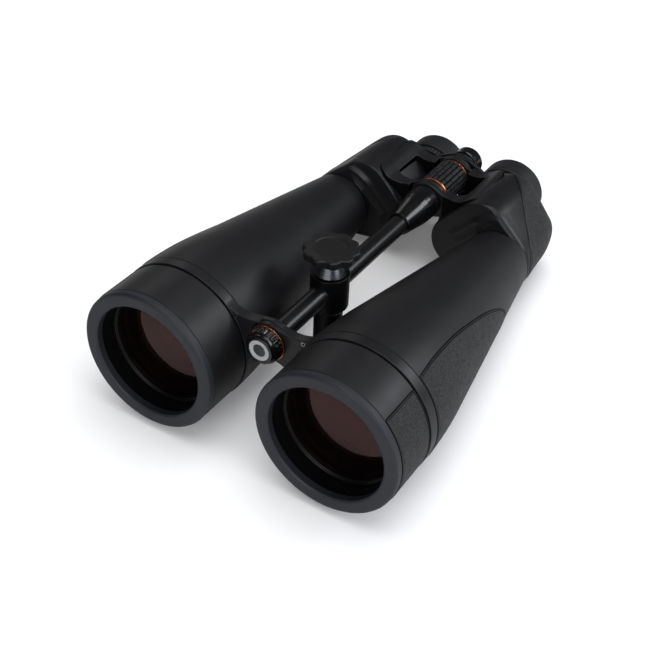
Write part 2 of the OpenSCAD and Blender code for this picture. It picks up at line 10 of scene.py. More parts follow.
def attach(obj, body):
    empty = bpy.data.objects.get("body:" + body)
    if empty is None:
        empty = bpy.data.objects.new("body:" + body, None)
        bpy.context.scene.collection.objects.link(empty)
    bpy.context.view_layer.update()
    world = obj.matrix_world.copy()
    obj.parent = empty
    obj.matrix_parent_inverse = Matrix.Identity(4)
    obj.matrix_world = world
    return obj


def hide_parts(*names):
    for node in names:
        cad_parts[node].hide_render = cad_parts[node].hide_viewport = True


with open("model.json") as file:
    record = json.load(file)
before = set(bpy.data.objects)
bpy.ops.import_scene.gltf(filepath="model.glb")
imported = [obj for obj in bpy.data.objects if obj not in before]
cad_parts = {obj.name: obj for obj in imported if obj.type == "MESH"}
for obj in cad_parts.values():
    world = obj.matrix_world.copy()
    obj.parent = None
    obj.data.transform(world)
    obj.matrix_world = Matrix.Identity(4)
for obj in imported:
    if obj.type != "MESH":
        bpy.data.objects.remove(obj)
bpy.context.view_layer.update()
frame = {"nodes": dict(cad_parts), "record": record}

# ------------------------------------------------------------------ the instrument's own axes
# Shapes are drawn as in the CAD: millimetres, Y along the barrels from the hoods' front rim,
# x = 0 between the halves and z = 0 through the objective axes. The hinge joint in the record
# says where that lies on the table.
HINGE_Z = 22.5
HINGE_STATION = 150  # the hinge joint's place along Y
HINGE_JOINT = next(j for j in frame["record"]["behaviour"]["joints"] if j["name"] == "ipd_left")
HINGE_AT = HINGE_JOINT["pos_m"]
COS, SIN = HINGE_JOINT["axis"][1], -HINGE_JOINT["axis"][2]


def row(points):
    """Instrument millimetres to the row's metres."""
    p = np.asarray(points, float) - (0, HINGE_STATION, HINGE_Z)
    out = np.empty_like(p)
    out[:, 0] = HINGE_AT[0] + p[:, 0] / 1000
    out[:, 1] = HINGE_AT[1] + (p[:, 1] * COS + p[:, 2] * SIN) / 1000
    out[:, 2] = HINGE_AT[2] + (-p[:, 1] * SIN + p[:, 2] * COS) / 1000
    return out


# Axes of the left half, as (x, z), and the post's axis, as (x, y).
OBJ = (69.5, 0.0)
EYE = (34.3, -0.5)
MID = (51.65, 17.35)
HINGE = (0.0, HINGE_Z)
POST = (0.0, 116.0)
SIDES = (("left", False), ("right", True))
RAD = math.radians

# ------------------------------------------------------------------ camera, floor and light
CAMERA_AT = (0.33392, -0.57824, 0.59960)
FOCAL_LENGTH, SENSOR_WIDTH = 65.354, 36
scene = bpy.context.scene
camera = bpy.data.objects.new("camera", bpy.data.cameras.new("camera"))
scene.collection.objects.link(camera)
back = Vector((0.4012, -0.6206, 0.6738)).normalized()
side = Vector((0.8443, 0.5357, -0.0093))
side = (side - back * side.dot(back)).normalized()
up = back.cross(side)
camera.matrix_world = Matrix((
    (side.x, up.x, back.x, CAMERA_AT[0]),
    (side.y, up.y, back.y, CAMERA_AT[1]),
    (side.z, up.z, back.z, CAMERA_AT[2]),
    (0, 0, 0, 1),
))
camera.data.sensor_width = SENSOR_WIDTH
camera.data.lens = FOCAL_LENGTH
camera.data.clip_start, camera.data.clip_end = 0.02, 60
scene.camera = camera
scene.view_settings.view_transform = "Standard"
scene.view_settings.look = "None"


def nodes_of(owner):
    owner.use_nodes = True
    tree = owner.node_tree
    tree.nodes.clear()
    return tree


world = bpy.data.worlds.new("studio")
scene.world = world
wt = nodes_of(world)
w_out = wt.nodes.new("ShaderNodeOutputWorld")
w_mix = wt.nodes.new("ShaderNodeMixShader")
w_path = wt.nodes.new("ShaderNodeLightPath")
w_seen = wt.nodes.new("ShaderNodeBackground")
w_lit = wt.nodes.new("ShaderNodeBackground")
w_seen.inputs["Color"].default_value = (1, 1, 1, 1)
w_seen.inputs["Strength"].default_value = 1.05
w_lit.inputs["Color"].default_value = (0.93, 0.95, 1.0, 1)
w_lit.inputs["Strength"].default_value = 0.07
wt.links.new(w_path.outputs["Is Camera Ray"], w_mix.inputs[0])
wt.links.new(w_lit.outputs[0], w_mix.inputs[1])
wt.links.new(w_seen.outputs[0], w_mix.inputs[2])
wt.links.new(w_mix.outputs[0], w_out.inputs["Surface"])


def softbox(name, at, look, size, watts, tint=(1, 1, 1)):
    lamp = bpy.data.lights.new(name, "AREA")
    lamp.shape = "RECTANGLE"
    lamp.size, lamp.size_y = size
    lamp.energy = watts
    lamp.color = tint
    ob = bpy.data.objects.new(name, lamp)
    scene.collection.objects.link(ob)
    ob.location = at
    ob.rotation_mode = "QUATERNION"
    ob.rotation_quaternion = (Vector(look) - Vector(at)).to_track_quat("-Z", "Y")
    return ob


softbox("overhead", (0.25, 0.2, 1.7), (0, 0, 0), (1.2, 1.0), 8)
softbox("back_right", (1.2, 1.05, 0.95), (0, 0, 0.03), (1.0, 0.6), 8, (0.92, 0.95, 1.0))
softbox("right_side", (1.6, -0.3, 0.7), (0.05, 0, 0.03), (0.7, 1.0), 8, (0.94, 0.96, 1.0))
softbox("front", (0.35, -1.6, 0.9), (0, 0, 0.03), (1.3, 0.7), 9, (0.95, 0.96, 1.0))
softbox("left_back", (-1.3, 1.0, 1.1), (0, 0, 0.03), (0.8, 0.8), 1.5)

# One wide lamp lights only the floor, so that the floor stays pale under a dark object.
floor_only = bpy.data.collections.new("floor_only")
floor_lamp = softbox("floor_lamp", (0, 0, 2.4), (0, 0, 0), (3, 3), 51)
floor_lamp.light_linking.receiver_collection = floor_only

# ------------------------------------------------------------------ materials
MATERIALS = {}


class Shader:
    """A Principled material with a few node helpers. Textures use object coordinates, in metres."""

    def __init__(self, name, base, rough, metallic=0.0, specular=0.5, coat=0.0, coat_rough=0.1,
                 ior=1.5, alpha=1.0, tint=None, aniso=0.0):
        self.mat = bpy.data.materials.new(name)
        self.tree = nodes_of(self.mat)
        self.out = self.new("ShaderNodeOutputMaterial")
        self.bsdf = self.new("ShaderNodeBsdfPrincipled")
        self.link(self.bsdf.outputs[0], self.out.inputs["Surface"])
        put = self.bsdf.inputs
        put["Base Color"].default_value = (*base, 1)
        put["Roughness"].default_value = rough
        put["Metallic"].default_value = metallic
        put["Specular IOR Level"].default_value = specular
        put["Coat Weight"].default_value = coat
        put["Coat Roughness"].default_value = coat_rough
        put["IOR"].default_value = ior
        put["Alpha"].default_value = alpha
        put["Anisotropic"].default_value = aniso
        if tint:
            put["Specular Tint"].default_value = (*tint, 1)
        self.mat.diffuse_color = (*base, 1)
        self.coords = self.new("ShaderNodeTexCoord").outputs["Object"]
        self.height = None
        MATERIALS[name] = self.mat

    def new(self, kind, **values):
        node = self.tree.nodes.new(kind)
        for key, value in values.items():
            setattr(node, key, value)
        return node

    def link(self, a, b):
        self.tree.links.new(a, b)

    def stretched(self, scale):
        node = self.new("ShaderNodeMapping")
        node.inputs["Scale"].default_value = scale
        self.link(self.coords, node.inputs["Vector"])
        return node.outputs[0]

    def noise(self, scale, detail=3.0, roughness=0.5, vector=None):
        node = self.new("ShaderNodeTexNoise")
        node.inputs["Scale"].default_value = scale
        node.inputs["Detail"].default_value = detail
        node.inputs["Roughness"].default_value = roughness
        self.link(vector or self.coords, node.inputs["Vector"])
        return node.outputs["Fac"]

    def cells(self, scale, smooth=0.6):
        node = self.new("ShaderNodeTexVoronoi", feature="SMOOTH_F1")
        node.inputs["Scale"].default_value = scale
        node.inputs["Smoothness"].default_value = smooth
        self.link(self.coords, node.inputs["Vector"])
        return node.outputs["Distance"]

    def span(self, value, low, high, from_low=0.3, from_high=0.7):
        node = self.new("ShaderNodeMapRange")
        node.inputs["From Min"].default_value = from_low
        node.inputs["From Max"].default_value = from_high
        node.inputs["To Min"].default_value = low
        node.inputs["To Max"].default_value = high
        self.link(value, node.inputs["Value"])
        return node.outputs[0]

    def rough(self, value, low, high):
        self.link(self.span(value, low, high), self.bsdf.inputs["Roughness"])

    def colour(self, value, first, second, low=0.35, high=0.65):
        node = self.new("ShaderNodeValToRGB")
        node.color_ramp.elements[0].position = low
        node.color_ramp.elements[0].color = (*first, 1)
        node.color_ramp.elements[1].position = high
        node.color_ramp.elements[1].color = (*second, 1)
        self.link(value, node.inputs[0])
        self.link(node.outputs[0], self.bsdf.inputs["Base Color"])

    def bump(self, value, depth, strength=1.0):
        """depth in millimetres; several bumps add up."""
        node = self.new("ShaderNodeBump")
        node.inputs["Strength"].default_value = strength
        node.inputs["Distance"].default_value = depth / 1000
        self.link(value, node.inputs["Height"])
        if self.height:
            self.link(self.height, node.inputs["Normal"])
        self.height = node.outputs[0]
        self.link(self.height, self.bsdf.inputs["Normal"])


def rubber(name, dark, light, rough_low, rough_high, grain):
    """Moulded rubber: a broad, faint cloudiness, and a fine skin."""
    s = Shader(name, dark, rough_low)
    s.colour(s.noise(28, 4), dark, light)
    s.rough(s.noise(60, 5, 0.6), rough_low, rough_high)
    s.bump(s.noise(2600, 3, 0.6), grain)
    return s


rubber("rubber_smooth", (0.0125, 0.0125, 0.0138), (0.0145, 0.0145, 0.016), 0.40, 0.47, 0.010)
rubber("rim_rubber", (0.024, 0.027, 0.033), (0.028, 0.031, 0.038), 0.46, 0.55, 0.015)
rubber("eyecup_rubber", (0.016, 0.016, 0.017), (0.020, 0.020, 0.021), 0.5, 0.6, 0.02)

s = Shader("rubber_stippled", (0.02, 0.02, 0.022), 0.6)
# The colour follows the same cells as the bump, lighter in their middles and darker where they meet:
# painted light and shade on the stipple.
s.colour(s.cells(900, 0.3), (0.055, 0.055, 0.06), (0.010, 0.010, 0.0115), 0.1, 0.55)
s.rough(s.noise(180, 4), 0.48, 0.62)
s.bump(s.cells(900, 0.5), 0.35, 0.9)
s.bump(s.noise(1100, 4, 0.65), 0.12, 0.8)

s = rubber("grip_rubber", (0.017, 0.017, 0.018), (0.023, 0.023, 0.024), 0.5, 0.62, 0.02)
s.bump(s.cells(3200, 0.5), 0.03, 0.6)

s = Shader("black_paint", (0.012, 0.012, 0.013), 0.4)
s.colour(s.noise(40, 4), (0.0105, 0.0105, 0.0115), (0.0135, 0.0135, 0.015))
s.rough(s.noise(90, 5, 0.6), 0.34, 0.43)
s.bump(s.noise(1500, 3, 0.55), 0.008)

s = Shader("gloss_black", (0.004, 0.004, 0.0042), 0.24, coat=0.35, coat_rough=0.16)
s.colour(s.noise(55, 4), (0.003, 0.003, 0.0032), (0.0055, 0.0055, 0.006))
s.rough(s.noise(60, 3), 0.17, 0.22)
s.bump(s.noise(300, 3), 0.002)

s = Shader("rod_black", (0.007, 0.007, 0.0073), 0.3, coat=0.15, coat_rough=0.2)
s.colour(s.noise(60, 4), (0.006, 0.006, 0.0063), (0.009, 0.009, 0.0095))
s.rough(s.noise(60, 3), 0.27, 0.33)
s.bump(s.noise(700, 3), 0.003)

s = Shader("post_black", (0.003, 0.003, 0.0032), 0.4, specular=0.25)
s.colour(s.noise(60, 4), (0.002, 0.002, 0.0022), (0.004, 0.004, 0.0043))
s.rough(s.noise(90, 4), 0.36, 0.46)
s.bump(s.noise(900, 3), 0.006)

s = Shader("flat_black", (0.0018, 0.0018, 0.002), 0.75, specular=0.12)
s.colour(s.noise(120, 4), (0.0012, 0.0012, 0.0014), (0.0026, 0.0026, 0.0029))
s.rough(s.noise(300, 4), 0.6, 0.8)
s.bump(s.noise(1800, 3), 0.02)

s = Shader("ring_black", (0.004, 0.004, 0.0045), 0.35, specular=0.3)
s.colour(s.noise(120, 4), (0.003, 0.003, 0.0034), (0.005, 0.005, 0.0055))
s.rough(s.noise(400, 4), 0.3, 0.42)
s.bump(s.noise(1600, 3), 0.004)

s = Shader("polished_steel", (0.12, 0.122, 0.13), 0.26, metallic=1.0, aniso=0.4)
s.colour(s.noise(80, 4), (0.105, 0.107, 0.114), (0.135, 0.137, 0.146))
s.rough(s.noise(1.0, 3, 0.5, s.stretched((30, 30, 1800))), 0.2, 0.32)
s.bump(s.noise(1.0, 2, 0.5, s.stretched((20, 20, 2600))), 0.002)

s = Shader("screw_steel", (0.5, 0.5, 0.52), 0.3, metallic=1.0)
s.colour(s.noise(500, 4), (0.42, 0.42, 0.44), (0.56, 0.56, 0.58))
s.rough(s.noise(900, 4), 0.22, 0.42)
s.bump(s.noise(3000, 3), 0.004)

s = Shader("orange_ring", (0.72, 0.20, 0.07), 0.25, metallic=0.9, coat=0.3, coat_rough=0.1)
s.colour(s.noise(200, 4), (0.66, 0.17, 0.055), (0.78, 0.24, 0.09))
s.rough(s.noise(600, 4), 0.18, 0.3)
s.bump(s.noise(2500, 2), 0.003)

s = Shader("badge_white", (0.78, 0.78, 0.78), 0.32, coat=0.4)
s.colour(s.noise(300, 4), (0.74, 0.74, 0.74), (0.82, 0.82, 0.82))
s.rough(s.noise(900, 4), 0.25, 0.4)
s.bump(s.noise(2500, 2), 0.003)

s = Shader("badge_grey", (0.06, 0.06, 0.065), 0.35, coat=0.4)
s.colour(s.noise(300, 4), (0.05, 0.05, 0.055), (0.075, 0.075, 0.08))
s.rough(s.noise(900, 4), 0.28, 0.42)
s.bump(s.noise(2500, 2), 0.003)

s = rubber("knob_plastic", (0.009, 0.009, 0.0095), (0.013, 0.013, 0.0135), 0.38, 0.5, 0.02)
s.bump(s.cells(2600, 0.6), 0.015, 0.5)

rubber("shoe_nylon", (0.05, 0.05, 0.053), (0.07, 0.07, 0.073), 0.45, 0.55, 0.02)

s = Shader("thread_brass", (0.62, 0.42, 0.16), 0.3, metallic=1.0)
s.colour(s.noise(300, 4), (0.52, 0.34, 0.12), (0.70, 0.50, 0.22))
s.rough(s.noise(800, 4), 0.22, 0.42)
s.bump(s.noise(1.0, 2, 0.5, s.stretched((40, 40, 1700))), 0.02)

s = Shader("coated_glass", (0.006, 0.0025, 0.0025), 0.03, specular=0.5, ior=1.85, alpha=0.62,
           tint=(1.0, 0.48, 0.46))
s.rough(s.noise(90, 3), 0.015, 0.04)
s.bump(s.noise(25, 2), 0.0008)

s = Shader("clear_glass", (0.01, 0.012, 0.012), 0.03, specular=0.5, ior=1.6, alpha=0.5,
           tint=(0.85, 0.9, 1.0))
s.rough(s.noise(90, 3), 0.015, 0.04)
s.bump(s.noise(25, 2), 0.0008)

s = Shader("floor_white", (0.9, 0.9, 0.91), 0.6, specular=0.0)
s.colour(s.noise(3, 3), (0.895, 0.895, 0.905), (0.905, 0.905, 0.915))
s.rough(s.noise(8, 3), 0.55, 0.65)
dim = s.new("ShaderNodeBsdfDiffuse")
dim.inputs["Color"].default_value = (0.5, 0.5, 0.5, 1)
fill = s.new("ShaderNodeEmission")
reach = s.new("ShaderNodeVectorMath", operation="LENGTH")
s.link(s.coords, reach.inputs[0])
# the floor gets lighter from 0.25 m to 1.1 m away from the object: painted light, for camera rays the floor
# glows from 0.12 to 1.0, which lifts its shadow near the object; other rays see a mid-grey floor, which
# bounces less light onto the object
s.link(s.span(reach.outputs["Value"], 0.12, 1.0, 0.25, 1.1), fill.inputs["Strength"])
seen_floor = s.new("ShaderNodeAddShader")
s.link(s.bsdf.outputs[0], seen_floor.inputs[0])
s.link(fill.outputs[0], seen_floor.inputs[1])
path = s.new("ShaderNodeLightPath")
pick = s.new("ShaderNodeMixShader")
s.link(path.outputs["Is Camera Ray"], pick.inputs[0])
s.link(dim.outputs[0], pick.inputs[1])
s.link(seen_floor.outputs[0], pick.inputs[2])
s.link(pick.outputs[0], s.out.inputs["Surface"])

bpy.ops.mesh.primitive_plane_add(size=30, location=(0, 0, -0.0002))
floor = bpy.context.object
floor.name = "floor"
floor.data.materials.append(MATERIALS["floor_white"])
floor_only.objects.link(floor)

# ------------------------------------------------------------------ mesh helpers


def finish_piece(name, verts, faces, mats, body, nodes=(), flip=False,
                 sharp=38, face_mats=None):
    """One object from instrument-coordinate vertices; flip makes the right side's twin."""
    verts = np.array(verts, float)
    if flip:
        verts[:, 0] *= -1
        faces = [tuple(reversed(f)) for f in faces]
    mesh = bpy.data.meshes.new(name)
    mesh.from_pydata(row(verts).tolist(), [], [tuple(int(i) for i in f) for f in faces])
    mesh.validate()
    for m in [mats] if isinstance(mats, str) else mats:
        mesh.materials.append(MATERIALS[m])
    if face_mats is not None and len(mesh.polygons) == len(face_mats):
        for poly, index in zip(mesh.polygons, face_mats):
            poly.material_index = index
    bm = bmesh.new()
    bm.from_mesh(mesh)
    bmesh.ops.remove_doubles(bm, verts=bm.verts, dist=1e-6)
    bmesh.ops.recalc_face_normals(bm, faces=bm.faces)
    bm.to_mesh(mesh)
    bm.free()
    for poly in mesh.polygons:
        poly.use_smooth = True
    mesh.set_sharp_from_angle(angle=math.radians(sharp))
    ob = bpy.data.objects.new(name, mesh)
    scene.collection.objects.link(ob)
    mod = ob.modifiers.new("normals", "WEIGHTED_NORMAL")
    mod.keep_sharp = True
    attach(ob, body)
    if nodes:
        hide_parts(*nodes)
    return ob


def filleted(points, steps=5):
    """A closed outline whose third values round its corners, as a plain list of points."""
    out = []
    n = len(points)
    for i, p in enumerate(points):
        r = p[2] if len(p) > 2 else 0
        here = np.array(p[:2], float)
        if r <= 0:
            out.append(tuple(here))
            continue
        a = np.array(points[i - 1][:2], float) - here
        b = np.array(points[(i + 1) % n][:2], float) - here
        la, lb = np.linalg.norm(a), np.linalg.norm(b)
        a, b = a / la, b / lb
        half = math.acos(max(-1, min(1, float(a @ b)))) / 2
        if half > math.pi / 2 - 0.01:
            out.append(tuple(here))
            continue
        cut = min(r / math.tan(half), 0.49 * la, 0.49 * lb)
        r = cut * math.tan(half)
        middle = here + (a + b) / np.linalg.norm(a + b) * (r / math.sin(half))
        start, end = here + a * cut - middle, here + b * cut - middle
        t0 = math.atan2(start[1], start[0])
        t1 = math.atan2(end[1], end[0])
        turn = (t1 - t0 + math.pi) % (2 * math.pi) - math.pi
        for k in range(steps + 1):
            t = t0 + turn * k / steps
            out.append((middle[0] + r * math.cos(t), middle[1] + r * math.sin(t)))
    return out


def spin(profile, centre, n=160, shape=None, axis="y"):
    """Verts and faces of a solid of revolution; shape(station, radius, angle) may change radii."""
    verts, faces = [], []
    rows = len(profile)
    for k in range(n):
        a = 2 * math.pi * k / n
        for s, r in profile:
            rr = max(shape(s, r, a) if shape else r, 0.0)
            if axis == "y":
                verts.append((centre[0] + rr * math.cos(a), s, centre[1] + rr * math.sin(a)))
            else:
                verts.append((centre[0] + rr * math.cos(a), centre[1] + rr * math.sin(a), s))
    for k in range(n):
        k2 = (k + 1) % n
        for i in range(rows):
            j = (i + 1) % rows
            if profile[i][1] <= 1e-6 and profile[j][1] <= 1e-6:
                continue
            faces.append((k * rows + i, k * rows + j, k2 * rows + j, k2 * rows + i))
    return verts, faces


def lathe(name, profile, centre, mat, body, nodes=(), flip=False, n=160, shape=None,
          axis="y", steps=5, sharp=38):
    """A turned piece from a closed profile of (station, radius, corner radius)."""
    verts, faces = spin(filleted(profile, steps), centre, n, shape, axis)
    return finish_piece(name, verts, faces, mat, body, nodes, flip, sharp)


def smooth_line(points, per=6):
    """A Catmull-Rom curve through points, with per steps between two of them."""
    pts = [np.array(p, float) for p in points]
    pts = [2 * pts[0] - pts[1]] + pts + [2 * pts[-1] - pts[-2]]
    out = []
    for i in range(1, len(pts) - 2):
        for k in range(per):
            t = k / per
            a, b, c, d = pts[i - 1:i + 3]
            out.append(tuple(0.5 * (2 * b + (c - a) * t + (2 * a - 5 * b + 4 * c - d) * t * t
                                    + (3 * b - a - 3 * c + d) * t ** 3)))
    out.append(tuple(pts[-2]))
    return out


def curve_plate(outlines, thick, bevel):
    """A flat plate with rounded edges from closed outlines (the first is the outer one, the rest
    are holes), centred on the plane z = 0, as a bmesh in millimetres."""
    curve = bpy.data.curves.new("plate", "CURVE")
    curve.dimensions = "2D"
    curve.fill_mode = "BOTH"
    curve.extrude = thick / 2 - bevel
    curve.bevel_depth = bevel
    curve.bevel_resolution = 3
    curve.offset = -bevel
    for line in outlines:
        spline = curve.splines.new("POLY")
        spline.points.add(len(line) - 1)
        for point, p in zip(spline.points, line):
            point.co = (p[0], p[1], 0, 1)
        spline.use_cyclic_u = True
    ob = bpy.data.objects.new("plate", curve)
    scene.collection.objects.link(ob)
    bpy.context.view_layer.update()
    mesh = bpy.data.meshes.new_from_object(ob.evaluated_get(bpy.context.evaluated_depsgraph_get()))
    bpy.data.objects.remove(ob)
    bpy.data.curves.remove(curve)
    bm = bmesh.new()
    bm.from_mesh(mesh)
    bpy.data.meshes.remove(mesh)
    bmesh.ops.remove_doubles(bm, verts=bm.verts, dist=1e-4)
    return bm


def mesh_of(bm):
    bm.verts.ensure_lookup_table()
    bm.verts.index_update()
    verts = [tuple(v.co) for v in bm.verts]
    faces = [tuple(v.index for v in f.verts) for f in bm.faces]
    return verts, faces


def line_at(points):
    """A function of x that runs straight between points."""
    xs = [p[0] for p in points]
    zs = [p[1] for p in points]
    return lambda x: float(np.interp(x, xs, zs))


def draped_plate(outlines, top, bottom, bevel, x_cuts):
    """A plate seen from above, whose upper and lower faces follow top(x) and bottom(x)."""
    nominal = 12.0  # the thickness before the faces are moved
    bm = curve_plate(outlines, nominal, bevel)
    for x in x_cuts:
        geom = bm.verts[:] + bm.edges[:] + bm.faces[:]
        bmesh.ops.bisect_plane(bm, geom=geom, plane_co=(x, 0, 0), plane_no=(1, 0, 0), dist=1e-4)
    for v in bm.verts:
        x, y, z = v.co
        v.co = (x, y, top(x) - (nominal / 2 - z) if z > 0 else bottom(x) + (z + nominal / 2))
    out = mesh_of(bm)
    bm.free()
    return out


def upright_plate(outlines, front, rear, bevel):
    """A plate across Y between two stations, outlined in x and z."""
    bm = curve_plate(outlines, rear - front, bevel)
    for v in bm.verts:
        x, z, y = v.co
        v.co = (x, (front + rear) / 2 - y, z)
    out = mesh_of(bm)
    bm.free()
    return out


def joined(*parts):
    """Several (verts, faces) as one."""
    verts, faces = [], []
    for v, f in parts:
        base = len(verts)
        verts += list(v)
        faces += [tuple(i + base for i in face) for face in f]
    return verts, faces


def circle(centre, r, n, start=0.0, end=360.0):
    """n steps of a circle, or of an arc between two angles in degrees with both its ends."""
    full = abs(end - start - 360) < 1e-6
    turns = [RAD(start + (end - start) * k / n) for k in range(n if full else n + 1)]
    return [(centre[0] + r * math.cos(t), centre[1] + r * math.sin(t)) for t in turns]


# ------------------------------------------------------------------ hoods, lenses and barrels
HOOD_R = 52.0
GLASS_R = 41.4
FLARE_START, FLARE_END, SLOPE, FLARE_SLOPE = 50, 93, 0.157, 0.02
BARREL_END, BARREL_END_R = 243.0, 25.4


def flare_r(y):
    """The barrel's radius behind the hood, where it curves from the hood into the taper."""
    return (52.6 - FLARE_SLOPE * (y - FLARE_START)
            - (SLOPE - FLARE_SLOPE) * (y - FLARE_START) ** 2 / (2 * (FLARE_END - FLARE_START)))


def barrel_r(y):
    if y < FLARE_END:
        return flare_r(y)
    share = (y - FLARE_END) / (BARREL_END - FLARE_END)
    return flare_r(FLARE_END) + (BARREL_END_R - flare_r(FLARE_END)) * share


PANEL_R = 50  # turns a panel's angles into millimetres
# Material 0, flat black, is painted shade: the border ring lies flush on the armour in place of a groove's
# shadow, and the groove inside the bead is painted black for its shade.
PANEL_RINGS = [  # distance inside the border, height over the armour, material
    (-0.75, -0.12, 0), (-0.6, 0.03, 0), (0.0, 0.03, 0), (0.12, 0.35, 1), (0.35, 0.52, 1),
    (0.7, 0.52, 1), (0.95, 0.14, 0), (1.25, 0.14, 0), (1.5, 0.46, 1), (1.8, 0.52, 1),
    (2.2, 0.46, 2), (4.0, 0.46, 2),
]
PANEL_MATS = ["flat_black", "rubber_smooth", "rubber_stippled"]


def panel(name, border, spine, surface, centre, body, flip):
    """A raised stippled panel on a surface of revolution. border is a closed list of
    (angle in radians, station), spine(angle, station) the point each border point heads for."""
    pts = np.array(border, float)
    n = len(pts)
    flat = np.array([(a * surface(y), y) for a, y in pts])
    tangent = np.roll(flat, -1, 0) - np.roll(flat, 1, 0)
    tangent /= np.linalg.norm(tangent, axis=1)[:, None]
    inward = np.stack([-tangent[:, 1], tangent[:, 0]], 1)
    target = np.array([spine(a, y) for a, y in pts])
    goal = np.array([(a * surface(y), y) for a, y in target])
    way = goal - flat
    length = np.linalg.norm(way, axis=1)
    if np.mean(np.sum(way * inward, 1)) < 0:
        inward = -inward
    facing = np.maximum(np.sum(way * inward, 1) / length, 0.35)
    rings = [(distance / facing / length, height, mat) for distance, height, mat in PANEL_RINGS]
    last, height, mat = rings[-1]
    inner = 14
    for k in range(1, inner + 1):
        rings.append((last + (0.999 - last) * k / inner, height, mat))
    verts, faces, mats = [], [], []
    for fraction, height, mat in rings:
        spot = pts + (target - pts) * np.asarray(fraction).reshape(-1, 1)
        for a, y in spot:
            r = surface(y) + height
            verts.append((centre[0] + r * math.cos(a), y, centre[1] + r * math.sin(a)))
    for k in range(len(rings) - 1):
        for i in range(n):
            j = (i + 1) % n
            faces.append((k * n + i, k * n + j, (k + 1) * n + j, (k + 1) * n + i))
            mats.append(rings[k + 1][2])
    return finish_piece(name, verts, faces, PANEL_MATS, body, (), flip, 60, mats)


def even(line, count):
    """Points spread evenly along a closed line of (angle, station)."""
    pts = np.array(list(line) + [line[0]], float)
    scaled = pts * (PANEL_R, 1)
    run = np.concatenate([[0], np.cumsum(np.linalg.norm(np.diff(scaled, axis=0), axis=1))])
    at = np.linspace(0, run[-1], count, endpoint=False)
    return [(float(np.interp(t, run, pts[:, 0])), float(np.interp(t, run, pts[:, 1]))) for t in at]


def rounded_border(corners, count):
    """corners: (angle, station, corner radius in mm). The angle is scaled to mm for rounding."""
    mm = [(a * PANEL_R, y, *r) for a, y, *r in corners]
    return even([(p[0] / PANEL_R, p[1]) for p in filleted(mm, 8)], count)


hood_border = rounded_border(
    [(RAD(-43.8), 6.7, 1.2), (RAD(43.8), 6.7, 1.2), (RAD(43.8), 40.1, 1.6), (RAD(-43.8), 40.1, 1.6)],
    420)


def hood_spine(a, y):
    return (max(-RAD(25), min(RAD(25), a)), 23.4)


# half the barrel panel's border, as station and degrees from its middle
upper = smooth_line([(50.6, 46.8), (66, 48.2), (81, 48.3), (97.5, 47.3), (113, 45.2), (128, 41.8),
                     (143, 37.4), (151, 34.4), (159, 30.6), (168, 25.0), (176, 18.2), (182, 11.0),
                     (185.5, 4.5), (186.2, 0)], 6)
barrel_border = ([(RAD(-a), y) for y, a in upper] + [(RAD(a), y) for y, a in reversed(upper[:-1])])
barrel_border = even(barrel_border, 620)


def barrel_spine(a, y):
    return (0.0, max(84.0, min(158.0, y)))


def threads(first, last, pitch, r, depth):
    """Baffle grooves for a bore's wall, as profile points."""
    out = []
    y = first
    while y + pitch <= last + 1e-6:
        out += [(y, r), (y + pitch * 0.35, r), (y + pitch * 0.55, r + depth),
                (y + pitch * 0.8, r + depth)]
        y += pitch
    return out


def cap_curve(R, edge_y, edge_r, bulge, steps=24):
    """A spherical lens face from the middle to its edge, bulging to -Y for bulge -1."""
    sag_edge = R - math.sqrt(R * R - edge_r * edge_r)
    return [(edge_y + bulge * (sag_edge - (R - math.sqrt(R * R - (edge_r * k / steps) ** 2))),
             edge_r * k / steps) for k in range(steps + 1)]


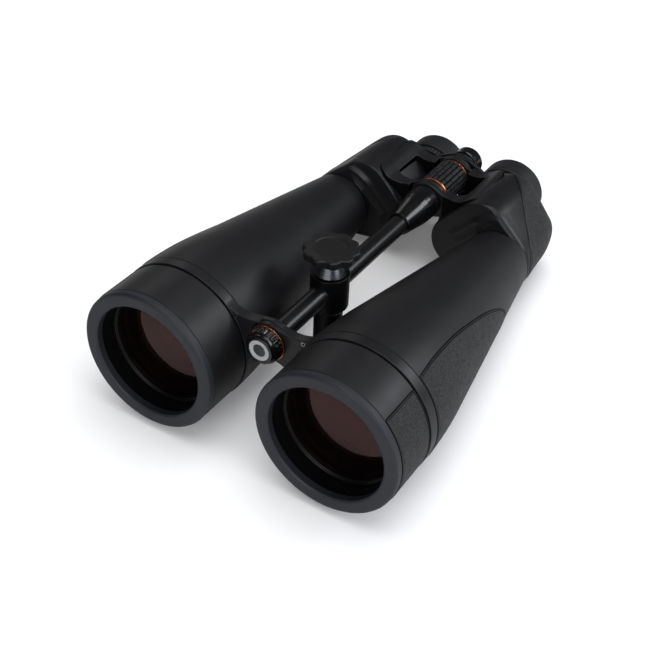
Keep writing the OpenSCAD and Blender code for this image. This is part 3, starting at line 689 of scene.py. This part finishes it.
for tag, flip in SIDES:
    half = tag + "_half"
    lathe(tag + "_rim",
          [(6.0, 42.5), (6.0, HOOD_R - 0.05, 0.4), (0.2, HOOD_R, 2.4), (0.0, 47.5), (0.15, 43.4, 0.9),
           (1.2, 42.0, 0.8), (6.0, 42.0)],
          OBJ, "rim_rubber", half, [tag + "_hood_rim"], flip, 224)
    lathe(tag + "_hood_shell",
          [(6.25, 42.7), (6.25, HOOD_R - 0.05, 0.35), (40.6, HOOD_R, 0.9), (40.6, 48.1), (17.0, 48.1),
           (17.0, 42.7)],
          OBJ, "rubber_smooth", half, [tag + "_hood"], flip, 224)
    lathe(tag + "_baffle",
          [(6.05, 42.05), (8.0, 42.15)] + threads(8.0, 17.2, 1.15, 42.2, 0.42)
          + [(17.8, 42.2), (17.8, 43.4), (18.4, 43.6), (21.4, 43.6), (21.4, 44.6), (6.05, 44.6)],
          OBJ, "flat_black", half, [], flip, 224, sharp=25)
    lathe(tag + "_lens_ring",
          [(18.4, 41.0, 0.1), (18.0, 41.5, 0.1), (18.0, 42.9, 0.12), (18.5, 43.5, 0.1), (23.2, 43.5),
           (23.2, 40.2), (21.0, 40.2, 0.1), (19.4, 40.3, 0.12), (19.0, 40.9, 0.1)],
          OBJ, "ring_black", half, [tag + "_retaining_ring"], flip, 224)
    for glass, mat, front, rear in (("crown", "coated_glass", (190, 23.6, -1), (170, 26.5, 1)),
                                    ("flint", "clear_glass", (170, 26.7, 1), (600, 35.4, 1))):
        faces_of = [cap_curve(R, edge, GLASS_R, bulge) for R, edge, bulge in (front, rear)]
        verts, faces = spin(faces_of[0] + faces_of[1][::-1], OBJ, 224)
        finish_piece(f"{tag}_{glass}_glass", verts, faces, mat, half, [f"{tag}_{glass}_lens"], flip)
    panel(tag + "_hood_panel", hood_border, hood_spine, lambda y: HOOD_R, OBJ, half, flip)

    outer = [(y, barrel_r(y)) for y in np.linspace(52, 241.8, 64)]
    profile = ([(49.7, 48.0), (49.7, 52.3), (50.1, 52.6)] + outer
               + [(242.7, barrel_r(242.7) - 0.15), (243.2, 24.9), (243.3, 24.2), (243.3, 22.5)]
               + [(y, barrel_r(y) - 2.4) for y in np.linspace(240, 56, 20)] + [(52, 48.0)])
    lathe(tag + "_barrel", profile, OBJ, "rubber_smooth", half, [tag + "_barrel_armour"],
          flip, 256)
    panel(tag + "_barrel_panel", barrel_border, barrel_spine, barrel_r, OBJ, half, flip)
    lathe(tag + "_band", [(41.3, 48.1), (41.3, 52.8, 0.45), (49.3, 52.8, 0.45), (49.3, 48.1)],
          OBJ, "black_paint", half, [], flip, 224)

# ------------------------------------------------------------------ bridges
# the upper and lower edges of both bridges, as heights over x
front_top = line_at(smooth_line([(0, 36.5), (6, 35.9), (12, 34.5), (18, 33.8), (24, 34.4), (29, 36.0),
                                 (33, 38.3), (37.5, 41.8), (44, 47)], 8))
front_low = line_at(smooth_line([(0, 8.6), (7, 8.4), (13, 6.2), (20, 2), (26, -3), (34, -10),
                                 (44, -18)], 8))
rear_top = line_at(smooth_line([(0, 36.4), (5, 35.7), (10, 33.2), (15, 31.2), (20, 30.6), (25, 31.2),
                                (30, 33.2), (34, 35.8), (37, 37.7), (40, 38.9), (43, 39.5), (48, 39.9)], 8))
rear_low = line_at(smooth_line([(0, 8.8), (10, 10.5), (20, 15), (28, 20), (48, 28)], 8))
LUG_R = 14.1
WEB_SCREW = (26.4, 32.6)


def lug(y0, y1, bore=4.05):
    return spin(filleted([(y0, bore), (y0, LUG_R, 0.7), (y1, LUG_R, 0.7), (y1, bore)]), HINGE, 120)


def rounded(*corners):
    return filleted(corners, 6)


def strip(top, low, x0, x1):
    """The outline, in x and z, between two curves of x."""
    xs = np.linspace(x0, x1, 30)
    return [(x, low(x)) for x in xs] + [(x, top(x)) for x in xs[::-1]]


def beside_hub(top, low, x1):
    """As strip, from the hinge's lug outwards."""
    r = LUG_R + 0.4
    curve = [(r * math.cos(a), HINGE_Z + r * math.sin(a)) for a in np.linspace(1.5, -1.5, 60)]
    curve = [(x, z) for x, z in curve if low(x) + 0.8 < z < top(x) - 0.8]
    first, last = curve[0], curve[-1]
    below = [(x, low(x)) for x in np.linspace(last[0] + 0.4, x1, 24)]
    above = [(x, top(x)) for x in np.linspace(x1, first[0] + 0.4, 24)]
    return curve + below + above


for tag, flip in SIDES:
    half = tag + "_half"
    own = (41.6, 45.6) if tag == "left" else (45.9, 49.9)
    # web: full depth beyond the other half's lug, and its own lug's depth up to the hinge
    wide = upright_plate([beside_hub(front_top, front_low, 40)], 41.65, 49.2, 0.6)
    slim = upright_plate([strip(front_top, front_low, 0.3, 20)], *own, 0.6)
    verts, faces = joined(wide, slim, lug(*own))
    finish_piece(tag + "_front_web", verts, faces, "black_paint", half, [tag + "_front_bridge"],
                 flip, 40)
    lathe(tag + "_web_screw",
          [(41.6, 0), (41.6, 0.4), (41.4, 0.5), (41.4, 1.0, 0.15), (42.6, 1.0), (42.6, 0)],
          WEB_SCREW, "post_black", half, [], flip, 32)

    # rear bridge: a frame round the window, between the housing and the hinge
    mid = (255.0, 259.3) if tag == "left" else (259.6, 263.9)
    rear = (301.6, 304.3) if tag == "left" else (304.6, 307.3)
    outline = rounded(
        (14.6, 255.0, 0.5), (20, 254.8), (27, 252.3), (33, 249.9, 5), (41.5, 254.5, 7), (42.8, 266),
        (42.8, 296), (41.5, 303.6, 2.5), (34, 306.6, 2), (22, 307.2), (14.6, 307.2, 0.5),
        (14.6, 296.4, 1.0), (15.4, 296.2, 0.3), (22.5, 296.1, 1), (30.4, 296.1, 2.6),
        (30.4, 264.0, 3.4), (22, 264.0, 1), (14.6, 263.9, 0.6))
    frame_cuts, arm_cuts = np.arange(15.5, 43, 1.5), np.arange(1.5, 18, 1.5)
    frame_part = draped_plate([outline], rear_top, rear_low, 0.45, frame_cuts)
    # painted shade: a flat black strip, a little wider than the frame and just under its top, stands in for
    # the shadow in the gap round the frame's outer edges
    grown = [(x + 0.55 * (x > 31), y + (0.45 if y > 300 else -0.45 if y < 257 else 0)) for x, y in outline]
    verts, faces = draped_plate([grown], lambda x: rear_top(x) - 0.25, rear_low, 0.1, frame_cuts)
    finish_piece(tag + "_frame_gap_shade", verts, faces, "flat_black", half, [], flip, 40)
    arms = [draped_plate([[(0.3, y0), (18, y0), (18, y1), (0.3, y1)]], rear_top, rear_low, 0.7, arm_cuts)
            for y0, y1 in (mid, rear)]
    sill = upright_plate([rounded((8, -4, 0.8), (14, -4), (14, 11), (10, 11, 0.8))], 262.9, 297, 0.4)
    apron = upright_plate([rounded((8, 2, 0.8), (14.5, 2), (14.5, 17), (8, 13))], 296.6, 299.6, 0.3)
    verts, faces = joined(frame_part, *arms, sill, apron, lug(*mid), lug(*rear, bore=6.5))
    finish_piece(tag + "_rear_frame", verts, faces, "black_paint", half, [tag + "_rear_bridge"],
                 flip, 40)

# ------------------------------------------------------------------ prism housings
# The housing is the hull of three round lobes, about the eyepiece, middle and objective axes.
AXES = (EYE, MID, OBJ)
SLICES = [(246.5, (22.9, 23.2, 25.5)), (250.5, (23.0, 23.3, 25.3)), (266, (24, 24.1, 24.1)),
          (286, (24, 23.4, 22.7)), (303.5, (22.2, 21.9, 18.8)), (306, (21.6, 21.4, 18.0))]
LOBE_LINES = [line_at(smooth_line([(y, lobes[i]) for y, lobes in SLICES])) for i in range(3)]
N_OUT = 360
FRONT = 247.5
SIDE_END, HOUSING_END = 302.9, 303.3
# the front face's station over the distance from the objective axis
COLLAR = line_at(smooth_line([(20, 243.6), (25.4, 243.6), (26.6, 243.9), (28.5, 244.5), (31, 245.1),
                              (33.2, 245.2), (35, 246.2), (37, 247.2), (39, FRONT)]))
FOOT = line_at(smooth_line([(20, 243.6), (25.4, 243.6), (26.6, 244.3), (28.5, 245.6), (30.5, 246.7),
                            (32.5, 247.3), (34.5, FRONT)]))
COLLAR_ARC = line_at([(50, 0), (80, 1), (125, 1), (150, 0)])
# the front edge's rounding over the outline's direction, softer on its outer side
EDGE_IN = line_at([(-180, 1.1), (-20, 1.1), (15, 1.9), (68, 1.9), (92, 1.1), (180, 1.1)])
EDGE_BACK = line_at([(-180, 1.1), (-20, 1.1), (15, 4.2), (68, 4.2), (92, 1.1), (180, 1.1)])


def radii(y):
    return [line(y) for line in LOBE_LINES]


def hull_point(k, lobes):
    """The outline's point that lies farthest in direction k of N_OUT."""
    a = 2 * math.pi * k / N_OUT
    nx, nz = math.cos(a), math.sin(a)
    best = max(range(3), key=lambda i: AXES[i][0] * nx + AXES[i][1] * nz + lobes[i])
    return AXES[best][0] + lobes[best] * nx, AXES[best][1] + lobes[best] * nz


def outline_at(lobes, y):
    return [(x, y, z) for x, z in (hull_point(k, lobes) for k in range(N_OUT))]


def outline_point(k, y, inset=0.0, shrink=0.0):
    return hull_point(k, [(r - inset) * (1 - shrink) + 0.4 * shrink for r in radii(y)])


def loft(slices):
    """A closed skin over rings of N_OUT points."""
    verts = [point for ring in slices for point in ring]
    faces = []
    for k in range(len(slices) - 1):
        for i in range(N_OUT):
            j = (i + 1) % N_OUT
            faces.append((k * N_OUT + i, k * N_OUT + j, (k + 1) * N_OUT + j, (k + 1) * N_OUT + i))
    faces.append(tuple(range(N_OUT)))
    faces.append(tuple((len(slices) - 1) * N_OUT + i for i in range(N_OUT)))
    return verts, faces


def face_station(x, z):
    """The front face: flat, with a foot round the barrel that swells to a collar on its upper side."""
    dx, dz = x - OBJ[0], z - OBJ[1]
    share = COLLAR_ARC(math.degrees(math.atan2(dz, dx)))
    share = share * share * (3 - 2 * share)
    d = math.hypot(dx, dz)
    return COLLAR(d) * share + FOOT(d) * (1 - share)


def housing_rings():
    turns = [(k * 360 / N_OUT + 180) % 360 - 180 for k in range(N_OUT)]
    edge_in = [EDGE_IN(t) for t in turns]
    edge_back = [EDGE_BACK(t) for t in turns]
    edges = [face_station(*outline_point(k, FRONT)) for k in range(N_OUT)]
    rings = []
    for t in np.linspace(1, 0, 60):  # the front face, from its middle outwards
        ring = []
        for k in range(N_OUT):
            x, z = outline_point(k, edges[k], edge_in[k], t)
            ring.append((x, face_station(x, z) if t else edges[k], z))
        rings.append(ring)
    for a in (72, 54, 36, 18, 0):  # the rounding
        ring = []
        for k in range(N_OUT):
            y = edges[k] + edge_back[k] * (1 - math.sin(RAD(a)))
            x, z = outline_point(k, y, edge_in[k] * (1 - math.cos(RAD(a))))
            ring.append((x, y, z))
        rings.append(ring)
    for u in np.linspace(0.04, 1, 26):  # the sides
        ring = []
        for k in range(N_OUT):
            start = edges[k] + edge_back[k]
            y = start + (SIDE_END - start) * u
            x, z = outline_point(k, y)
            ring.append((x, y, z))
        rings.append(ring)
    rings.append(outline_at([r - 0.45 for r in radii(HOUSING_END)], HOUSING_END))
    return rings


housing = loft(housing_rings())

# the seam between the smooth shoulder and the armour skin is a plane along Z
SEAM_N = (0.7804, 0.6252)
SEAM_AT = 228.88
SEAM_MIDDLE, SMOOTH_EDGE = 0.12, 1.9  # where the skin and its stippling begin
ARMOUR_LINES = [  # distance past the seam, height
    (-0.55, 0.0), (-0.4, -0.6), (0.0, -0.8), (0.25, -0.1), (0.45, 0.4), (0.8, 0.45),
    (1.05, 0.0), (1.45, 0.0), (1.7, 0.36), (2.2, 0.42),
]


def seam_distance(x, y):
    return SEAM_N[0] * x + SEAM_N[1] * y - SEAM_AT


def cut_housing():
    """The housing cut along its seam: vertices, shoulder faces, skin faces and their materials."""
    bm = bmesh.new()
    vs = [bm.verts.new(v) for v in housing[0]]
    for f in housing[1]:
        bm.faces.new([vs[i] for i in f])
    ds = [d for d, height in ARMOUR_LINES]
    hs = [height for d, height in ARMOUR_LINES]
    for d in ds:
        co = (SEAM_N[0] * (SEAM_AT + d), SEAM_N[1] * (SEAM_AT + d), 0)
        bmesh.ops.bisect_plane(bm, geom=bm.verts[:] + bm.edges[:] + bm.faces[:], plane_co=co,
                               plane_no=(*SEAM_N, 0), dist=1e-4)
    bmesh.ops.recalc_face_normals(bm, faces=bm.faces)
    bm.normal_update()
    shift = []
    for v in bm.verts:
        d = seam_distance(v.co.x, v.co.y)
        near_end = max(0.0, min(1.0, (303.6 - v.co.y) / 1.2))
        shift.append(v.normal * float(np.interp(d, ds, hs)) * near_end)
    for v, move in zip(bm.verts, shift):
        v.co += move
    shell, armour, armour_mats = [], [], []
    verts, faces = mesh_of(bm)
    for f, ids in zip(bm.faces, faces):
        c = f.calc_center_median()
        d = seam_distance(c.x, c.y)
        if d < SEAM_MIDDLE:
            shell.append(ids)
        else:
            armour.append(ids)
            armour_mats.append(0 if d < SMOOTH_EDGE else 1)
    bm.free()
    return verts, shell, armour, armour_mats


def only_used(verts, faces):
    """The faces with only the vertices that they need."""
    used = sorted({i for f in faces for i in f})
    place = {old: new for new, old in enumerate(used)}
    return [verts[i] for i in used], [tuple(place[i] for i in f) for f in faces]


h_verts, h_shell, h_armour, h_armour_mats = cut_housing()
COVER_EDGE = [(303.4, 0.9), (303.45, 0.35), (303.7, 0.12), (304.4, 0.1), (305.0, 0.35), (305.5, 0.8),
              (305.85, 1.4), (306.0, 2.2)]  # station, inset
cover_lobes = radii(303.9)
cover_rings = [outline_at([r - inset for r in cover_lobes], y) for y, inset in COVER_EDGE]
cover_rear, last_inset = COVER_EDGE[-1]
for t in np.linspace(0.12, 1, 12):
    cover_rings.append(outline_at([(r - last_inset) * (1 - t) + 0.4 * t for r in cover_lobes], cover_rear))
cover = loft(cover_rings)
eye_boss = spin(filleted([(305.0, 13.3), (305.0, 16.4), (306.4, 16.4, 0.5), (306.4, 13.3)]), EYE, 128)

for tag, flip in SIDES:
    half = tag + "_half"
    verts, faces = only_used(h_verts, h_shell)
    finish_piece(tag + "_housing_shell", verts, faces, "black_paint", half,
                 [tag + "_prism_housing"], flip, 50)
    verts, faces = only_used(h_verts, h_armour)
    finish_piece(tag + "_housing_skin", verts, faces, ["rubber_smooth", "rubber_stippled"], half,
                 [tag + "_housing_armour"], flip, 60, h_armour_mats)
    verts, faces = joined(cover, eye_boss)
    finish_piece(tag + "_cover", verts, faces, "black_paint", half, [tag + "_rear_cover"],
                 flip, 50)

# ------------------------------------------------------------------ hinge, knobs and focuser
lathe("rod", [(50.3, 4.1), (50.3, 7.5, 0.5), (254.2, 7.5), (254.2, 4.1)], HINGE, "rod_black", "spine",
      ["hinge_rod"], n=96)
lathe("sleeve", [(212.5, 7.6), (212.5, 8.5, 0.3), (213.3, 9.2, 0.3), (219, 10.1, 6), (226, 11.2, 20),
                 (233, 12.35, 20), (239, 13.05, 10), (244, 13.3, 10), (249.4, 13.3), (249.7, 13.0),
                 (250.1, 13.0), (250.4, 13.3), (252, 13.2, 0.8), (254.6, 12.5, 0.3), (254.6, 7.6)],
      HINGE, "gloss_black", "spine", ["rod_sleeve"], n=128)


def waves(count, first, last, depth):
    """Radius change that ripples a knob's whole side between two stations."""
    def shape(s, r, a):
        if r < 8:
            return r
        run = max(0.0, min(1.0, (s - first) / 1.2, (last - s) / 1.0))
        return r - depth * run * run * (3 - 2 * run) * (0.5 + 0.5 * math.cos(a * count)) ** 1.3
    return shape


knob_nose = [(32.8, 0.0), (32.8, 11.0, 0.4), (33.3, 11.6, 0.3), (34.2, 12.25, 0.4)]
knob_side = [(34.4 + k * 0.24, 12.3 + 0.011 * k) for k in range(1, 21)]
knob = knob_nose + knob_side + [(39.9, 12.6, 0.3), (39.9, 0.0)]
lathe("tension_grip", knob, HINGE, "gloss_black", "tension_knob", ["tension_knob"],
      n=528, shape=waves(22, 33.9, 39.6, 0.9), sharp=70)
lathe("tension_badge_disc",
      [(31.0, 0.0), (31.0, 4.7, 0.15), (30.9, 4.9, 0.1), (30.9, 5.1), (31.6, 5.1), (31.6, 0)],
      HINGE, "badge_grey", "tension_knob", [], n=96)
lathe("tension_badge_ring",
      [(30.9, 4.7), (30.6, 5.1, 0.3), (30.45, 7.5, 0.3), (30.9, 7.8, 0.2), (32.0, 7.8), (32.0, 4.7)],
      HINGE, "badge_white", "tension_knob", ["tension_badge"], n=128)
lathe("tension_bezel",
      [(30.8, 7.7), (30.4, 8.1, 0.3), (30.5, 9.9, 0.5), (32.0, 11.1, 0.6), (32.9, 11.1), (32.9, 7.7)],
      HINGE, "gloss_black", "tension_knob", [], n=128)
lathe("tension_band",
      [(40.05, 11.0), (40.05, 13.1, 0.2), (40.7, 13.1, 0.2), (40.75, 12.2), (41.2, 12.2), (41.2, 11.0)],
      HINGE, "orange_ring", "tension_knob", ["tension_ring"], n=128)

# The core shows only between the grip's bars; its flat black is painted shade in these grooves.
lathe("wheel_core",
      [(264.9, 6.1), (264.9, 11.6, 0.3), (266.5, 11.8), (266.5, 12.9, 0.2), (299.3, 12.9, 0.2),
       (299.3, 11.8), (300.9, 11.6, 0.3), (300.9, 6.1)],
      HINGE, "flat_black", "focus_wheel", ["focus_core"], n=128)
lathe("wheel_band_front", [(264.8, 11.4), (264.8, 13.5, 0.5), (266.55, 13.7, 0.4), (266.55, 11.4)],
      HINGE, "orange_ring", "focus_wheel", ["focus_rings"], n=128)
lathe("wheel_band_rear", [(299.3, 11.4), (299.3, 13.2, 0.4), (301.0, 13.1, 0.5), (301.0, 11.4)],
      HINGE, "orange_ring", "focus_wheel", [], n=128)


def bar(a0, a1, y0, y1, r0, r1):
    """A raised bar on the wheel, with rounded edges."""
    edge = 0.3
    verts, faces = [], []
    levels = [(0, r0), (0, r1 - edge), (edge * 0.3, r1 - edge * 0.3), (edge, r1)]
    across, along = 5, 2
    for inset, r in levels:
        da = inset / r1
        ring = []
        for k in range(across + 1):
            ring.append((a0 + da + (a1 - a0 - 2 * da) * k / across, y0 + inset))
        for k in range(1, along + 1):
            ring.append((a1 - da, y0 + inset + (y1 - y0 - 2 * inset) * k / along))
        for k in range(1, across + 1):
            ring.append((a1 - da - (a1 - a0 - 2 * da) * k / across, y1 - inset))
        for k in range(1, along):
            ring.append((a0 + da, y1 - inset - (y1 - y0 - 2 * inset) * k / along))
        verts += [(r * math.cos(a), y, HINGE_Z + r * math.sin(a)) for a, y in ring]
    n = len(verts) // len(levels)
    for k in range(len(levels) - 1):
        for i in range(n):
            j = (i + 1) % n
            faces.append((k * n + i, k * n + j, (k + 1) * n + j, (k + 1) * n + i))
    # top face as strips across, so that it stays round
    top = (len(levels) - 1) * n
    low = [top + i for i in range(across + 1)]
    high = [top + across + along + across - i for i in range(across + 1)]
    for i in range(across):
        faces.append((low[i], low[i + 1], high[i + 1], high[i]))
    return verts, faces


# The grip: columns of three bars, every second column shifted by half a bar.
COLUMNS, GRIP_START, GRIP_END, BAR_GAP = 22, 267.0, 299.8, 0.9
bars = []
pitch = 2 * math.pi / COLUMNS
length = (GRIP_END - GRIP_START) / 3
for c in range(COLUMNS):
    cuts = [GRIP_START + length, GRIP_START + 2 * length]
    if c % 2:
        cuts = [y - length / 2 for y in cuts] + [cuts[-1] + length / 2]
    stops = [GRIP_START] + cuts + [GRIP_END]
    for y0, y1 in zip(stops, stops[1:]):
        bars.append(bar((c + 0.16) * pitch, (c + 0.84) * pitch, y0, y1 - BAR_GAP, 12.7, 13.8))
verts, faces = joined(*bars)
finish_piece("wheel_grip", verts, faces, "grip_rubber", "focus_wheel", ["focus_grip"],
             sharp=50)
stem_thread = [p for k in range(40) for p in ((301.4 + k * 0.45, 6.0), (301.4 + k * 0.45 + 0.22, 5.75))]
lathe("stem",
      [(273.6, 0), (273.6, 6.0, 0.4)] + stem_thread + [(319.6, 6.0), (325.4, 6.0), (325.4, 0)],
      HINGE, "screw_steel", "focus_slide", ["focus_stem"], n=96)
lathe("cap", [(319.4, 5.9), (319.4, 11.6, 0.5), (320.6, 12.2, 0.6), (329.0, 12.2, 2.5), (331.4, 10.0, 2.0),
              (331.6, 7.0, 1), (331.2, 6.6), (331.2, 0), (325.4, 0), (325.4, 5.9)],
      HINGE, "gloss_black", "focus_slide", ["rear_cap"], n=128)

# ------------------------------------------------------------------ tripod post
lathe("post", [(-38, 6.05), (-38, 12.5, 0.5), (-33.2, 12.5, 0.6), (-33.0, 10.2, 0.5), (4.5, 10.2, 2.0),
               (8.6, 13.8, 2.0), (35.4, 13.8, 0.9), (35.4, 4.2)],
      POST, "post_black", "tripod_post", ["tripod_post"], n=144, axis="z")


def scallop(s, r, a):
    """Ten soft hollows round the clamp knob's rim."""
    if r < 15:
        return r
    wave = 0.5 + 0.5 * math.cos(10 * a)
    return r - 1.9 * wave ** 1.35 * min(1.0, (r - 15) / 3.0)


lathe("clamp_grip",
      [(49.5, 4), (49.5, 18.7, 0.5), (50.2, 19.9, 0.6), (54.8, 19.9, 0.7), (55.4, 19.0, 0.6),
       (56.0, 12.3, 0.3), (55.3, 11.7, 0.3), (55.3, 4)],
      POST, "knob_plastic", "clamp_knob", ["clamp_knob"], n=400, shape=scallop, axis="z",
      steps=7, sharp=50)
lathe("clamp_disc", [(55.35, 0), (55.35, 11.3, 0.2), (54.9, 11.6), (54.9, 0)],
      POST, "knob_plastic", "clamp_knob", [], n=128, axis="z")
lathe("clamp_flange", [(44.6, 4), (44.6, 10.6, 0.3), (46.2, 12.3, 0.8), (49.6, 12.5, 0.3), (49.6, 4)],
      POST, "black_paint", "clamp_knob", [], n=128, axis="z")
lathe("clamp_neck",
      [(35.75, 4), (35.75, 12.2, 0.25), (36.6, 12.2, 0.4), (43.4, 9.2, 0.5), (44.7, 9.2), (44.7, 4)],
      POST, "polished_steel", "clamp_knob", [], n=144, axis="z")
lathe("clamp_screw", [(33.6, 0), (33.6, 4.0, 0.3), (36.0, 4.0), (36.0, 0)],
      POST, "screw_steel", "clamp_knob", [], n=64, axis="z")

# ------------------------------------------------------------------ eyepieces
def ring_ribs(s, r, a):
    """48 grooves along the dioptre ring's outside, between its two ends."""
    first, last, depth, width, ease = 322.7, 327.7, 0.8, 0.45, 0.5
    if r <= 20 or s < first - 0.01 or s > last + 0.01:
        return r
    run = min(1.0, (s - first) / ease, (last - s) / ease)
    wave = max(0.0, (math.cos(48 * a) - (1 - 2 * width)) / (2 * width))
    return r - depth * math.sin(run * math.pi / 2) * math.sqrt(wave)


for tag, flip in SIDES:
    left = tag == "left"
    carrier = "left_eyepiece" if left else "right_ocular"
    step = 311.8 if left else 313.2
    collar = ([(322.0, 17.5), (322.0, 24.2, 0.6), (328.4, 24.2, 0.6), (328.4, 20.4)] if left
              else [(321.9, 17.5), (321.9, 20.4, 0.4)])
    lathe(tag + "_eyepiece_body",
          [(283, 11.4), (283, 13.2, 0.4), (step, 13.2), (step, 17.5, 0.4)] + collar
          + [(344, 20.4, 0.8), (344, 13.5), (342, 12.2), (336, 12.2), (336, 10.6), (333, 10.6),
             (333, 14.5), (step + 2.2, 14.5), (step + 2.2, 11.4), (300, 11.4), (300, 10), (297, 10),
             (297, 11.4)],
          EYE, "black_paint", carrier, [tag + "_ocular"], flip, 144)
    cup = [(329.0, 22.1), (329.0, 24.9, 0.6), (330.2, 25.6, 0.8), (331.8, 25.7, 0.2), (332.1, 25.4, 0.15),
            (332.5, 25.4, 0.15), (332.8, 25.75, 0.2), (338.0, 26.05, 3), (346.9, 26.1, 1.2),
            (349.3, 23.9, 1.1), (349.3, 20.4, 0.9), (348.3, 18.8, 0.8), (345.6, 16.6, 0.5), (345.4, 17.4),
            (345.4, 22.1)]
    lathe(tag + "_cup", cup, EYE, "eyecup_rubber", tag + "_eyecup", [tag + "_eyecup"],
          flip, 192)
    if not left:
        side_line = [(322.6 + 0.26 * k, 24.2) for k in range(21)]
        lathe("diopter_grip", [(322.0, 20.5), (322.0, 24.0, 0.4)] + side_line + [(328.4, 24.0, 0.4),
                               (328.4, 20.5)],
              EYE, "grip_rubber", "diopter_ring", ["diopter_ring"], flip, 432,
              shape=ring_ribs)
    # arm from the focus stem to the eyepiece
    station = 311.8 if left else 315.6
    rim = circle(EYE, 21.5, 64, -150, 62)
    hub_line = circle(HINGE, 11.0, 40, 75, 255)
    top_line = smooth_line([(2.8, 33.1), (10, 31.6), (18, 27.6), (26, 22.4), (38.5, 20.2)], 5)[:-2]
    outline = hub_line + [(-2.8, 11.9), (9, 5.5)] + rim + top_line[::-1]
    outline = [p for i, p in enumerate(outline) if i == 0 or math.dist(p, outline[i - 1]) > 0.3]
    verts, faces = upright_plate([outline, circle(HINGE, 6.1, 48), circle(EYE, 17.6, 72)],
                                 station, station + 3.5, 0.7)
    finish_piece(tag + "_arm", verts, faces, "black_paint", tag + "_eyepiece",
                 [tag + "_eyepiece_arm"], flip, 40)

# ------------------------------------------------------------------ the CAD pieces that stay
KEPT = {
    "lens_cell": "flat_black", "barrel_tube": "flat_black", "bridge_screws": "screw_steel",
    "front_prism": "clear_glass", "rear_prism": "clear_glass", "field_lens": "clear_glass",
    "eye_lens": "coated_glass", "eyecup_sleeve": "flat_black", "hinge_axle": "screw_steel",
    "thread_insert": "thread_brass", "clamp_shoe": "shoe_nylon",
}
for name, ob in frame["nodes"].items():
    base = name.split("_", 1)[1] if name.startswith(("left_", "right_")) else name
    if base in KEPT:
        for slot in ob.material_slots:
            slot.material = MATERIALS[KEPT[base]]
        if not ob.material_slots:
            ob.data.materials.append(MATERIALS[KEPT[base]])
